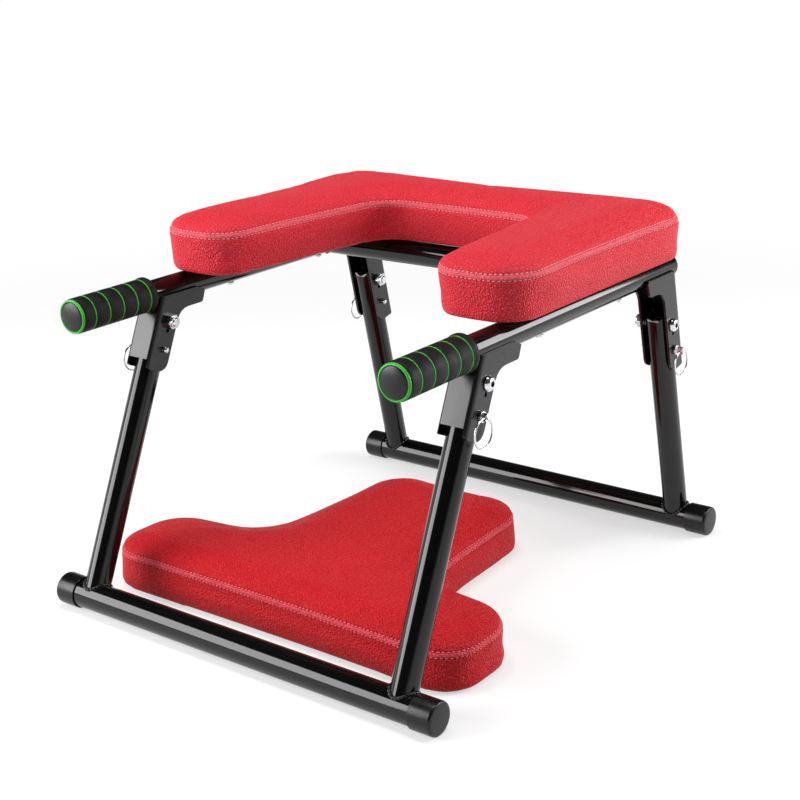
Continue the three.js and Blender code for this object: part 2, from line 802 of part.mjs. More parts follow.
// One corner of the stool: bracket, pivot, lock and leg, about the pivot.
function addCorner(sideGroup, end, prefix) {
  const corner = new THREE.Group();
  corner.position.set(railX, end.y, end.z);
  corner.scale.y = end.sign;
  sideGroup.add(corner);
  addPiece(corner, `${prefix}_bracket`, bracketPaint(), bracket(end));
  addPiece(corner, `${prefix}_pivot_bolt`, steel(), pivotBolt());
  addPiece(corner, `${prefix}_lock_nut`, steel(), lockNut());
  addPiece(corner, `${prefix}_pivot_sleeve`, steel(), pivotSleeve());
  const legMesh = addPiece(corner, `${prefix}_leg`, paint(), leg(end));
  legMesh.rotation.x = -end.lean;
  const lock = new THREE.Group();
  const spot = alongLeg(end, pinDrop, 0);
  lock.position.set(0, spot.x, spot.y);
  lock.rotation.x = -ringHangAngles[end.name];
  corner.add(lock);
  addPiece(lock, `${prefix}_lock_pin`, steel(), lockPin());
  addPiece(lock, `${prefix}_pull_ring`, steel(), pullRing());
}

function addFloorTube(root, end) {
  const group = new THREE.Group();
  group.position.set(0, -end.sign * floorTubeY, floorTubeZ);
  root.add(group);
  addPiece(group, `${end.name}_floor_tube`, paint(), floorTube());
  for (const side of sides) {
    const cap = addPiece(group, `${end.name}_${side.name}_end_cap`, blackPlastic(), endCap());
    cap.scale.x = side.sign;
  }
}

function buildStool() {
  const root = new THREE.Group();
  for (const side of sides) addSide(root, side);
  for (const end of ends) addFloorTube(root, end);
  addPiece(root, "rear_cross_tube", paint(), rearCrossTube());
  addPiece(root, "seat_board", plywood(), seatBoard());
  addPiece(root, "seat_cushion", redLeather(), seatCushion());
  addPiece(root, "floor_pad_base", nonSlip(), floorPadBase());
  addPiece(root, "floor_cushion", deepRedLeather(), floorCushion());
  return root;
}

export default buildStool();
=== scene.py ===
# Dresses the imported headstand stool: padded seat and floor pad, tubes, brackets, fasteners and grips.
# Lengths are metres. X runs across the stool, Y from the handles to the back, Z up.
import json
import math
import bmesh
import bpy
import numpy as np
from mathutils import Matrix, Vector

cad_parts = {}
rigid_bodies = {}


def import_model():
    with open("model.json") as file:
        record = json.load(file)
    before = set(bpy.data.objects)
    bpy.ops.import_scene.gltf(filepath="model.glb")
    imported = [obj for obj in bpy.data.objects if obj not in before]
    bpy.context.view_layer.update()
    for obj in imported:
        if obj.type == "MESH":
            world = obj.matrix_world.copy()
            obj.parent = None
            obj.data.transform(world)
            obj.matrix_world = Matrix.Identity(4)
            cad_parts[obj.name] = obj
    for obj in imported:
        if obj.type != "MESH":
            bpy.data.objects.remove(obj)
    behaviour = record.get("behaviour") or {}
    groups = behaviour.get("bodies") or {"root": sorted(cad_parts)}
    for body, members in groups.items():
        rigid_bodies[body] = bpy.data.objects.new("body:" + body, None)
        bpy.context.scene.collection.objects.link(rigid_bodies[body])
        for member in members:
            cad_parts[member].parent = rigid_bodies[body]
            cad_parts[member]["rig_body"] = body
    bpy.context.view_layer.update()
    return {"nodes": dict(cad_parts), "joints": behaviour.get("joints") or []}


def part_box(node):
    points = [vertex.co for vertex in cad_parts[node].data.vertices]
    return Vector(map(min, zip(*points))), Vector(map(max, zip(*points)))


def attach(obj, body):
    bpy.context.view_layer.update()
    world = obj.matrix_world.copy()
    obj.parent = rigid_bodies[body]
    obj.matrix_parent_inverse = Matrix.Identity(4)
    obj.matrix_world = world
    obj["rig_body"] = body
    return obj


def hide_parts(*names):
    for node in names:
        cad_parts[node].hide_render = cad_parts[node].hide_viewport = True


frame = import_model()
nodes = frame["nodes"]
joints = {j["name"]: j for j in frame["joints"]}
sides = {"left": -1, "right": 1}
ends = ("front", "rear")
allAround = 2 * math.pi
xAxis = Vector((1, 0, 0))
yAxis = Vector((0, 1, 0))
zAxis = Vector((0, 0, 1))
quarterTurn = Matrix.Rotation(math.pi / 2, 3, "X")
fitGap = 0.0003  # between pieces that rest on or in each other
mergeGap = 1e-7  # points nearer than this become one
cutMergeGap = 1e-6
cadMergeGap = 2e-6
flatAngle = math.radians(0.6)  # CAD faces that meet at less become one
tiny = 1e-9  # the least length to divide by
cutLength = 0.08  # of a cutter, more than what it cuts is thick
roundSteps = 64


# a screen colour as a linear one
def tint(red, green, blue):
    def linear(value):
        value /= 255
        return value / 12.92 if value <= 0.04045 else ((value + 0.055) / 1.055) ** 2.4
    return (linear(red), linear(green), linear(blue), 1)


def addNode(tree, kind, **settings):
    node = tree.nodes.new(kind)
    for name, value in settings.items():
        setattr(node, name, value)
    return node


# sets or links sockets, named with underscores for spaces, or i0, i1, ... by their place
def feed(tree, node, **sockets):
    for name, value in sockets.items():
        byPlace = name[0] == "i" and name[1:].isdigit()
        socket = node.inputs[int(name[1:]) if byPlace else name.replace("_", " ")]
        if isinstance(value, bpy.types.NodeSocket):
            tree.links.new(value, socket)
        else:
            socket.default_value = value
    return node


def calc(tree, operation, *values):
    node = addNode(tree, "ShaderNodeMath", operation=operation)
    feed(tree, node, **{f"i{n}": value for n, value in enumerate(values)})
    return node.outputs[0]


def ramped(tree, value, low, high, toLow=0.0, toHigh=1.0):
    node = addNode(tree, "ShaderNodeMapRange", interpolation_type="SMOOTHSTEP")
    feed(tree, node, Value=value, From_Min=low, From_Max=high, To_Min=toLow, To_Max=toHigh)
    return node.outputs["Result"]


def blendColour(tree, mask, first, second):
    node = addNode(tree, "ShaderNodeMix", data_type="RGBA")
    feed(tree, node, i0=mask, i6=first, i7=second)
    return node.outputs[2]


def objectPlace(tree):
    return addNode(tree, "ShaderNodeTexCoord").outputs["Object"]


def noise(tree, place, scale, detail=2.0, roughness=0.5):
    node = addNode(tree, "ShaderNodeTexNoise")
    return feed(tree, node, Vector=place, Scale=scale, Detail=detail, Roughness=roughness).outputs[0]


def effectGroup(name, inputs, outputs):
    group = bpy.data.node_groups.new(name, "ShaderNodeTree")
    for label, value in inputs.items():
        socket = group.interface.new_socket(label, in_out="INPUT", socket_type="NodeSocketFloat")
        socket.default_value = value
    for label in outputs:
        group.interface.new_socket(label, in_out="OUTPUT", socket_type="NodeSocketFloat")
    return group, addNode(group, "NodeGroupInput"), addNode(group, "NodeGroupOutput")


grainShape = {
    "pebbles": 430, "bendScale": 230.0, "bend": 0.002, "smoothness": 0.35, "domeBand": (0.05, 0.6),
    "creaseBand": (0.0, 0.2), "creaseDepth": 0.5, "poreScale": 3000.0, "poreDepth": 0.1, "blotchScale": 34.0,
}


# rounded pebbles of a grained cover, with creases between them
def makePebbleGrain(look):
    group, given, result = effectGroup("pebbleGrain", {"Pebbles per metre": look["pebbles"]},
                                       ["Height", "Dome", "Blotch"])
    place = objectPlace(group)
    bend = addNode(group, "ShaderNodeTexNoise")
    feed(group, bend, Vector=place, Scale=look["bendScale"], Detail=2.0)
    shift = addNode(group, "ShaderNodeVectorMath", operation="MULTIPLY_ADD")
    feed(group, shift, i0=bend.outputs["Color"], i1=(look["bend"],) * 3, i2=place)
    pebbles = addNode(group, "ShaderNodeTexVoronoi", feature="SMOOTH_F1")
    feed(group, pebbles, Vector=shift.outputs[0], Scale=given.outputs[0], Smoothness=look["smoothness"])
    gaps = addNode(group, "ShaderNodeTexVoronoi", feature="DISTANCE_TO_EDGE")
    feed(group, gaps, Vector=shift.outputs[0], Scale=given.outputs[0])
    rounded = ramped(group, pebbles.outputs["Distance"], *look["domeBand"], 1.0, 0.0)
    crease = ramped(group, gaps.outputs["Distance"], *look["creaseBand"], 1.0, 0.0)
    dome = calc(group, "SUBTRACT", rounded, calc(group, "MULTIPLY", crease, look["creaseDepth"]))
    pores = noise(group, place, look["poreScale"])
    height = calc(group, "MULTIPLY_ADD", pores, look["poreDepth"], dome)
    feed(group, result, Height=height, Dome=dome, Blotch=noise(group, place, look["blotchScale"], 3.0, 0.6))
    return group


seamShape = {"middle": 0.349, "half": 0.0025, "row": 0.0006, "rowBand": (0.3, 1.6), "stripBand": (0.6, 1.0)}


# two sewn rows round a cushion at a height, as masks of the rows and of the strip between them
def makeSeamBand(look):
    group, given, result = effectGroup(
        "seamBand", {"Middle": look["middle"], "Half": look["half"], "Row": look["row"]}, ["Rows", "Strip"])
    apart = addNode(group, "ShaderNodeSeparateXYZ")
    feed(group, apart, Vector=objectPlace(group))
    off = calc(group, "ABSOLUTE", calc(group, "SUBTRACT", apart.outputs["Z"], given.outputs[0]))
    beside = calc(group, "ABSOLUTE", calc(group, "SUBTRACT", off, given.outputs[1]))
    rows = ramped(group, calc(group, "DIVIDE", beside, given.outputs[2]), *look["rowBand"], 1.0, 0.0)
    strip = ramped(group, calc(group, "DIVIDE", off, given.outputs[1]), *look["stripBand"], 1.0, 0.0)
    feed(group, result, Rows=rows, Strip=strip)
    return group


edgeWearAndHighlightShape = {"reach": 0.04, "patches": 180, "flat": 0.53, "patchBand": (0.42, 0.62)}


# lighter along outer edges, partly as rubbed wear and partly as painted highlight, broken up by noise
def makeEdgeWearAndHighlight(look):
    group, given, result = effectGroup(
        "edgeWearAndHighlight", {"Reach": look["reach"], "Patches per metre": look["patches"]}, ["Mask"])
    bulge = addNode(group, "ShaderNodeNewGeometry").outputs["Pointiness"]
    lightening = calc(group, "DIVIDE", calc(group, "SUBTRACT", bulge, look["flat"]), given.outputs[0])
    patches = ramped(group, noise(group, objectPlace(group), given.outputs[1], 4.0, 0.65), *look["patchBand"])
    feed(group, result, Mask=calc(group, "MULTIPLY", ramped(group, lightening, 0.0, 1.0), patches))
    return group


peelShape = {"waves": 240, "nibScale": 1900.0, "nibBand": (0.66, 0.78), "nibHeight": 0.25, "hazeScale": 46.0}


# the faint waviness and dust nibs of sprayed and baked paint
def makeOrangePeel(look):
    group, given, result = effectGroup("orangePeel", {"Waves per metre": look["waves"]}, ["Height", "Haze"])
    place = objectPlace(group)
    waves = noise(group, place, given.outputs[0], 2.0, 0.45)
    nibs = ramped(group, noise(group, place, look["nibScale"], 1.0), *look["nibBand"])
    height = calc(group, "MULTIPLY_ADD", nibs, look["nibHeight"], waves)
    feed(group, result, Height=height, Haze=noise(group, place, look["hazeScale"], 3.0, 0.6))
    return group


cellShape = {"cells": 1500, "pitBand": (0.05, 0.5), "pitDepth": 0.5, "skinScale": 620.0}


# skin of a closed-cell foam or moulded rubber
def makeFoamCells(look):
    group, given, result = effectGroup("foamCells", {"Cells per metre": look["cells"]}, ["Height", "Pits"])
    place = objectPlace(group)
    cells = addNode(group, "ShaderNodeTexVoronoi", feature="F1")
    feed(group, cells, Vector=place, Scale=given.outputs[0])
    pits = ramped(group, cells.outputs["Distance"], *look["pitBand"], 1.0, 0.0)
    skin = noise(group, place, look["skinScale"], 3.0)
    height = calc(group, "SUBTRACT", skin, calc(group, "MULTIPLY", pits, look["pitDepth"]))
    feed(group, result, Height=height, Pits=pits)
    return group


pebbleGrain = makePebbleGrain(grainShape)
seamBand = makeSeamBand(seamShape)
edgeWearAndHighlight = makeEdgeWearAndHighlight(edgeWearAndHighlightShape)
orangePeel = makeOrangePeel(peelShape)
foamCells = makeFoamCells(cellShape)


def useGroup(tree, group, **values):
    node = addNode(tree, "ShaderNodeGroup", node_tree=group)
    for name, value in values.items():
        node.inputs[name.replace("_", " ")].default_value = value
    return node.outputs


# the node tree of a material or world, with nothing in it
def emptyTree(owner):
    owner.use_nodes = True
    owner.node_tree.nodes.clear()
    return owner.node_tree


def startMaterial(name, **sockets):
    material = bpy.data.materials.new(name)
    tree = emptyTree(material)
    shader = addNode(tree, "ShaderNodeBsdfPrincipled")
    feed(tree, shader, **sockets)
    feed(tree, addNode(tree, "ShaderNodeOutputMaterial"), Surface=shader.outputs["BSDF"])
    return material, tree, shader


def bumped(tree, shader, height, distance):
    bump = addNode(tree, "ShaderNodeBump")
    feed(tree, bump, Height=height, Distance=distance, Strength=1.0)
    feed(tree, shader, Normal=bump.outputs["Normal"])


def makeLeather(name, look):
    material, tree, shader = startMaterial(name, Specular_IOR_Level=look["gloss"])
    grain = useGroup(tree, pebbleGrain, Pebbles_per_metre=look["pebbles"])
    seam = useGroup(tree, seamBand, Middle=look["seamMiddle"], Half=look["seamHalf"], Row=look["rowWidth"])
    blotched = ramped(tree, grain["Blotch"], *look["blotchBand"])
    patchy = blendColour(tree, blotched, look["colour"], look["deeper"])
    # painted shade: the grain's creases darkened towards the crease colour
    creaseShaded = blendColour(tree, ramped(tree, grain["Dome"], *look["creaseBand"]), look["crease"], patchy)
    # painted highlight: the pebble domes lightened towards the highlight colour
    lightening = calc(tree, "MULTIPLY", ramped(tree, grain["Dome"], *look["domeBand"]), look["domeLight"])
    domeHighlighted = blendColour(tree, lightening, creaseShaded, look["highlight"])
    # painted highlight: the welt strip between the stitch rows lightened towards the strip colour
    stripLitShare = calc(tree, "MULTIPLY", seam["Strip"], look["stripLight"])
    stripHighlighted = blendColour(tree, stripLitShare, domeHighlighted, look["strip"])
    # painted shade: the stitch rows darkened towards the crease colour
    rowShaded = calc(tree, "MULTIPLY", seam["Rows"], look["rowShade"])
    feed(tree, shader, Base_Color=blendColour(tree, rowShaded, stripHighlighted, look["crease"]))
    rough = calc(tree, "MULTIPLY_ADD", grain["Blotch"], look["blotchRoughness"], look["roughness"])
    feed(tree, shader, Roughness=calc(tree, "MULTIPLY_ADD", grain["Dome"], look["domeRoughness"], rough))
    bumped(tree, shader, calc(tree, "SUBTRACT", grain["Height"], seam["Rows"]), look["relief"])
    return material


def makePaint(name, look):
    material, tree, shader = startMaterial(name, Specular_IOR_Level=look["specular"],
                                           Coat_Weight=look["coat"], Coat_Roughness=look["coatRoughness"])
    peel = useGroup(tree, orangePeel, Waves_per_metre=look["waves"])
    hazy = ramped(tree, peel["Haze"], *look["hazeBand"])
    feed(tree, shader, Base_Color=blendColour(tree, hazy, look["colour"], look["hazeColour"]))
    feed(tree, shader, Roughness=calc(tree, "MULTIPLY_ADD", hazy, look["hazeRoughness"], look["roughness"]))
    bumped(tree, shader, peel["Height"], look["relief"])
    return material


moulding = {"cloudBand": (0.35, 0.7), "cloudRoughness": 0.08, "pitShade": 0.4}


def makeMoulded(name, look):
    material, tree, shader = startMaterial(name, Specular_IOR_Level=look["specular"])
    cells = useGroup(tree, foamCells, Cells_per_metre=look["cells"])
    clouds = noise(tree, objectPlace(tree), look["clouds"], 3.0, 0.6)
    cloudy = ramped(tree, clouds, *moulding["cloudBand"])
    base = blendColour(tree, cloudy, look["colour"], look["second"])
    # painted shade: the cell pits darkened towards the pit colour
    pitShading = calc(tree, "MULTIPLY", cells["Pits"], moulding["pitShade"])
    feed(tree, shader, Base_Color=blendColour(tree, pitShading, base, look["pit"]))
    feed(tree, shader, Roughness=calc(tree, "MULTIPLY_ADD", cloudy, moulding["cloudRoughness"],
                                      look["roughness"]))
    bumped(tree, shader, cells["Height"], look["relief"])
    return material


def makeSteel(name, look):
    material, tree, shader = startMaterial(name, Metallic=1.0)
    streaks = noise(tree, objectPlace(tree), look["streaks"], 4.0, 0.7)
    base = blendColour(tree, ramped(tree, streaks, *look["streakBand"]), look["colour"], look["second"])
    # rubbed wear and painted highlight: outer edges lightened towards the bright edge colour
    wornAndLit = calc(tree, "MULTIPLY", useGroup(tree, edgeWearAndHighlight, Reach=look["wearAndHighlightReach"])["Mask"], look["wearAndHighlight"])
    feed(tree, shader, Base_Color=blendColour(tree, wornAndLit, base, look["bright"]))
    rough = calc(tree, "MULTIPLY_ADD", streaks, look["streakRoughness"], look["roughness"])
    feed(tree, shader, Roughness=rough)
    bumped(tree, shader, streaks, look["relief"])
    return material


def makePlywood(name, look):
    material, tree, shader = startMaterial(name, Specular_IOR_Level=look["specular"])
    drawn = addNode(tree, "ShaderNodeMapping")
    feed(tree, drawn, Vector=objectPlace(tree), Scale=look["drawn"])
    bands = addNode(tree, "ShaderNodeTexWave", wave_type="BANDS", bands_direction="X")
    feed(tree, bands, Vector=drawn.outputs[0], Scale=look["bands"], Distortion=look["waviness"], Detail=3.0,
         Detail_Scale=2.0)
    fibres = noise(tree, drawn.outputs[0], look["fibres"], 4.0, 0.7)
    base = blendColour(tree, bands.outputs["Fac"], look["colour"], look["second"])
    dark = calc(tree, "MULTIPLY", fibres, look["fibreShade"])
    feed(tree, shader, Base_Color=blendColour(tree, dark, base, look["fibre"]))
    rough = calc(tree, "MULTIPLY_ADD", fibres, look["fibreRoughness"], look["roughness"])
    feed(tree, shader, Roughness=rough)
    bumped(tree, shader, fibres, look["relief"])
    return material


def makeThread(name, look):
    material, tree, shader = startMaterial(name, Specular_IOR_Level=look["specular"],
                                           Roughness=look["roughness"])
    plies = noise(tree, objectPlace(tree), look["plies"])
    twisted = ramped(tree, plies, *look["plyBand"])
    feed(tree, shader, Base_Color=blendColour(tree, twisted, look["colour"], look["second"]))
    bumped(tree, shader, plies, look["relief"])
    return material


glossPaint = makePaint("glossPaint", {
    "colour": tint(6, 6, 7), "hazeColour": tint(8, 8, 9), "specular": 0.36, "coat": 0.1,
    "coatRoughness": 0.05, "waves": 160.0, "hazeBand": (0.35, 0.7), "roughness": 0.09, "hazeRoughness": 0.02,
    "relief": 0.000005,
})
satinPaint = makePaint("satinPaint", {
    "colour": tint(10, 10, 11), "hazeColour": tint(13, 13, 14), "specular": 0.5, "coat": 0.0,
    "coatRoughness": 0.1, "waves": 420.0, "hazeBand": (0.35, 0.7), "roughness": 0.27, "hazeRoughness": 0.03,
    "relief": 0.00001,
})
capPlastic = makeMoulded("capPlastic", {
    "colour": tint(9, 9, 10), "second": tint(12, 12, 13), "pit": tint(6, 6, 6), "specular": 0.35,
    "cells": 2600.0, "clouds": 60.0, "roughness": 0.26, "relief": 0.00002,
})
gripFoam = makeMoulded("gripFoam", {
    "colour": tint(11, 11, 12), "second": tint(16, 16, 17), "pit": tint(6, 6, 6), "specular": 0.22,
    "cells": 1700.0, "clouds": 90.0, "roughness": 0.55, "relief": 0.00009,
})
bandRubber = makeMoulded("bandRubber", {
    "colour": tint(62, 184, 56), "second": tint(52, 170, 48), "pit": tint(38, 138, 38), "specular": 0.35,
    "cells": 2400.0, "clouds": 120.0, "roughness": 0.42, "relief": 0.00003,
})
platedSteel = makeSteel("platedSteel", {
    "colour": tint(226, 228, 231), "second": tint(200, 202, 207), "bright": tint(242, 242, 244),
    "streaks": 300.0, "streakBand": (0.3, 0.75), "wearAndHighlightReach": 0.06, "wearAndHighlight": 0.5, "streakRoughness": 0.12,
    "roughness": 0.12, "relief": 0.00001,
})
boardWood = makePlywood("boardWood", {
    "colour": tint(196, 158, 112), "second": tint(172, 130, 84), "fibre": tint(120, 86, 52), "specular": 0.3,
    "drawn": (1.0, 0.08, 1.0), "bands": 26.0, "waviness": 9.0, "fibres": 900.0, "fibreShade": 0.35,
    "fibreRoughness": 0.2, "roughness": 0.6, "relief": 0.00015,
})
gripCloth = makeMoulded("gripCloth", {
    "colour": tint(26, 26, 28), "second": tint(34, 34, 36), "pit": tint(12, 12, 12), "specular": 0.25,
    "cells": 420.0, "clouds": 40.0, "roughness": 0.8, "relief": 0.0004,
})
print("materials ready")


def bodyOf(node):
    return nodes[node]["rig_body"]


def middleOf(node):
    low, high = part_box(node)
    return (low + high) / 2


def halfAcross(node, axis):
    low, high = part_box(node)
    return (high - low)["xyz".index(axis)] / 2


def addObject(name, data):
    thing = bpy.data.objects.new(name, data)
    bpy.context.scene.collection.objects.link(thing)
    return thing


# the object as its modifiers leave it
def evaluated(thing):
    bpy.context.view_layer.update()
    return thing.evaluated_get(bpy.context.evaluated_depsgraph_get())


def placePiece(name, bm, material, slot, node, replaces=True, sharp=36, weighted=False):
    mesh = bpy.data.meshes.new(name)
    bm.to_mesh(mesh)
    bm.free()
    mesh.materials.clear()
    mesh.materials.append(material)
    mesh.shade_smooth()
    mesh.set_sharp_from_angle(angle=math.radians(sharp))
    piece = addObject(name, mesh)
    if weighted:
        piece.modifiers.new("flatFaces", "WEIGHTED_NORMAL").keep_sharp = True
    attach(piece, bodyOf(node))
    if replaces:
        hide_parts(node)
    return piece


def softenEdges(bm, width, segments=2, over=34):
    bm.normal_update()
    edges = [e for e in bm.edges if e.is_manifold and e.calc_face_angle(0) > math.radians(over)]
    bmesh.ops.bevel(bm, geom=edges, offset=width, offset_type="OFFSET", segments=segments, profile=0.5,
                    affect="EDGES", clamp_overlap=True, material=-1)


# merges doubled points and turns the faces outwards
def sealed(bm):
    bmesh.ops.remove_doubles(bm, verts=bm.verts[:], dist=mergeGap)
    bmesh.ops.recalc_face_normals(bm, faces=bm.faces[:])
    return bm


# turns (radius, along) points round the X axis
def spun(profile, steps, closed=False):
    bm = bmesh.new()
    points = [bm.verts.new((at, radius, 0)) for radius, at in profile]
    pairs = list(zip(points, points[1:]))
    if closed:
        pairs.append((points[-1], points[0]))
    lines = [bm.edges.new(pair) for pair in pairs]
    bmesh.ops.spin(bm, geom=points + lines, cent=(0, 0, 0), axis=(1, 0, 0), dvec=(0, 0, 0), angle=allAround,
                   steps=steps, use_merge=True, use_duplicate=False)
    return sealed(bm)


# turns X to the given axis, and mirrors what it turns where sign is -1
def along(axis, sign=1):
    return axis.to_track_quat("X", "Z").to_matrix().to_4x4() @ Matrix.Scale(sign, 4, xAxis)


def moved(bm, turn, place):
    bm.transform(Matrix.Translation(place) @ turn)
    if turn.determinant() < 0:
        bmesh.ops.reverse_faces(bm, faces=bm.faces[:])
    return bm


# bm cut by, or kept inside, another closed shape
def carved(bm, shape, operation="DIFFERENCE"):
    objects = []
    for part in (bm, shape):
        mesh = bpy.data.meshes.new("cut")
        part.to_mesh(mesh)
        part.free()
        objects.append(addObject("cut", mesh))
    boolean = objects[0].modifiers.new("cut", "BOOLEAN")
    boolean.object = objects[1]
    boolean.operation = operation
    boolean.solver = "EXACT"
    result = bmesh.new()
    result.from_mesh(evaluated(objects[0]).data)
    for thing in objects:
        bpy.data.objects.remove(thing)
    return result


# a plain cylinder along an axis, for cutting
def cutter(axis, radius, length, place, steps):
    bm = bmesh.new()
    bmesh.ops.create_cone(bm, cap_ends=True, segments=steps, radius1=radius, radius2=radius, depth=length)
    bmesh.ops.rotate(bm, cent=(0, 0, 0), verts=bm.verts[:],
                     matrix=zAxis.rotation_difference(axis).to_matrix())
    bmesh.ops.translate(bm, vec=place, verts=bm.verts[:])
    return bm


# the node's mesh, merged, with its flat triangles joined
def fromCad(node):
    bm = bmesh.new()
    bm.from_mesh(nodes[node].data)
    bmesh.ops.remove_doubles(bm, verts=bm.verts[:], dist=cadMergeGap)
    bmesh.ops.dissolve_limit(bm, angle_limit=flatAngle, verts=bm.verts[:], edges=bm.edges[:])
    return bm


def refined(name, node, material, slot, edge, segments=2):
    bm = fromCad(node)
    softenEdges(bm, edge, segments)
    return placePiece(name, bm, material, slot, node, weighted=True)


# The form is drawn in and remeshed, then blown up as cloth, smoothed, sewn and stitched.
# Rings, reach, spreads and puffAt are shares of seamHalf.
seatPad = {
    "node": "seat_cushion", "slot": "red_leather", "piece": "seatPad", "fill": 0.8,
    "shrink": 0.0012, "shrinkFrom": 0.004, "shrinkOver": 0.01, "voxel": 0.0045,
    "pressure": 4.0, "quality": 4, "frames": 20, "cap": 0.0026,
    "heldHeight": 0.006, "freeingHeight": 0.012, "heldShare": 0.02,
    "smoothAbove": 0.015, "smoothTimes": 3, "smoothing": 0.5,
    "seamBelowTop": 0.015, "seamHalf": 0.0026, "rings": (0.45, 0.8, 1, 1.2, 1.45, 1.9, 2.6), "reach": 3.4,
    "weltRise": 0.0007, "rowDepth": 0.0006, "rowSpread": 0.22, "puff": 0.0003, "puffAt": 2, "puffSpread": 0.7,
    "stitchPitch": 0.0044, "stitchLength": 0.0033, "stitchThick": 0.00062, "stitchOut": 0.45,
    "stitchSides": 6, "stitchRings": 5,
    # own tone: colour, deeper; painted shade: crease; painted highlights: highlight (domes), strip (welt)
    "colour": tint(244, 54, 70), "deeper": tint(238, 48, 64), "crease": tint(216, 32, 48),
    "highlight": tint(252, 92, 106), "strip": tint(253, 120, 132), "domeLight": 0.25, "stripLight": 0.5,
    "blotchBand": (0.3, 0.7), "creaseBand": (-0.2, 0.25), "domeBand": (0.3, 1.0),
    "pebbles": 460.0, "roughness": 0.46, "blotchRoughness": 0.12, "domeRoughness": -0.1,
    "relief": 0.0007, "gloss": 0.3, "rowWidth": 0.0006, "rowShade": 0.4,
    "thread": {"colour": tint(252, 172, 178), "second": tint(244, 138, 146), "specular": 0.3,
               "roughness": 0.6, "plies": 2600.0, "plyBand": (0.35, 0.65), "relief": 0.0001},
}
floorPad = dict(
    seatPad, node="floor_cushion", slot="deep_red_leather", piece="floorPad", fill=0.75, seamBelowTop=0.0155,
    colour=tint(222, 20, 34), deeper=tint(214, 16, 30), crease=tint(190, 10, 22),
    highlight=tint(236, 48, 62), strip=tint(244, 96, 108), domeLight=0.2, stripLight=0.55, gloss=0.24,
    cap=0.0016, thread=dict(seatPad["thread"], colour=tint(246, 128, 136), second=tint(234, 96, 106)),
)


def remeshed(bm, voxel):
    mesh = bpy.data.meshes.new("soft")
    bm.to_mesh(mesh)
    bm.free()
    form = addObject("soft", mesh)
    remesh = form.modifiers.new("voxels", "REMESH")
    remesh.mode = "VOXEL"
    remesh.voxel_size = voxel
    form.data = bpy.data.meshes.new_from_object(evaluated(form))
    form.modifiers.clear()
    return form


# blows the form up as a stuffed cover, holding what lies near the underside
def inflated(form, look, low):
    count = len(form.data.vertices)
    rest = np.empty(count * 3)
    form.data.vertices.foreach_get("co", rest)
    rest = rest.reshape(-1, 3)
    free = np.clip((rest[:, 2] - low - look["heldHeight"]) / look["freeingHeight"], 0, 1)
    held = form.vertex_groups.new(name="held")
    for n in np.flatnonzero(free < look["heldShare"]):
        held.add([int(n)], 1.0, "REPLACE")
    cloth = form.modifiers.new("cover", "CLOTH")
    cloth.settings.vertex_group_mass = "held"
    cloth.settings.use_pressure = True
    cloth.settings.uniform_pressure_force = look["pressure"]
    cloth.settings.effector_weights.gravity = 0
    cloth.settings.quality = look["quality"]
    scene = bpy.context.scene
    for step in range(look["frames"]):
        scene.frame_set(step + 1)
    puffed = np.empty(count * 3)
    form.evaluated_get(bpy.context.evaluated_depsgraph_get()).data.vertices.foreach_get("co", puffed)
    scene.frame_set(1)
    form.modifiers.clear()
    shift = puffed.reshape(-1, 3) - rest
    length = np.maximum(np.linalg.norm(shift, axis=1), tiny)
    capped = look["cap"] * np.tanh(length / look["cap"]) * free
    form.data.vertices.foreach_set("co", (rest + shift / length[:, None] * capped[:, None]).ravel())


# the points, in order, of the longest closed line that the edges make
def longestLoop(edges):
    beside = {}
    for edge in edges:
        for a, b in (edge.verts, reversed(edge.verts)):
            beside.setdefault(a, []).append(b)
    best = []
    bestLength = 0
    while beside:
        start = next(iter(beside))
        line = [start]
        last = None
        now = start
        while len(line) <= len(edges):
            following = [v for v in beside.get(now, []) if v is not last]
            if not following or following[0] is start:
                break
            last = now
            now = following[0]
            line.append(now)
        for v in line:
            beside.pop(v, None)
        length = sum((a.co - b.co).length for a, b in zip(line, line[1:]))
        if length > bestLength:
            best = line
            bestLength = length
    return [(v.co.copy(), v.normal.copy()) for v in best]


# adds edge loops round the seam, shapes the welt between its rows and returns each row's loop
def sewRows(bm, middle, look):
    half = look["seamHalf"]
    above = list(look["rings"])
    below = [-share for share in reversed(above)]
    rows = {}
    for share in below + [0] + above:
        everything = bm.verts[:] + bm.edges[:] + bm.faces[:]
        cut = bmesh.ops.bisect_plane(bm, geom=everything, dist=cutMergeGap,
                                     plane_co=(0, 0, middle + share * half), plane_no=zAxis)["geom_cut"]
        if abs(share) == 1:
            rows[share] = [e for e in cut if isinstance(e, bmesh.types.BMEdge)]
    bm.normal_update()
    shifts = []
    for v in bm.verts:
        share = (v.co.z - middle) / half
        if abs(share) > look["reach"]:
            continue
        rise = look["weltRise"] * math.cos(math.pi / 2 * share) if abs(share) < 1 else 0
        rise -= look["rowDepth"] * math.exp(-((abs(share) - 1) / look["rowSpread"]) ** 2)
        rise += look["puff"] * math.exp(-((abs(share) - look["puffAt"]) / look["puffSpread"]) ** 2)
        shifts.append((v, Vector((v.normal.x, v.normal.y, 0)) * rise))
    for v, shift in shifts:
        v.co += shift
    return {share: longestLoop(edges) for share, edges in rows.items()}


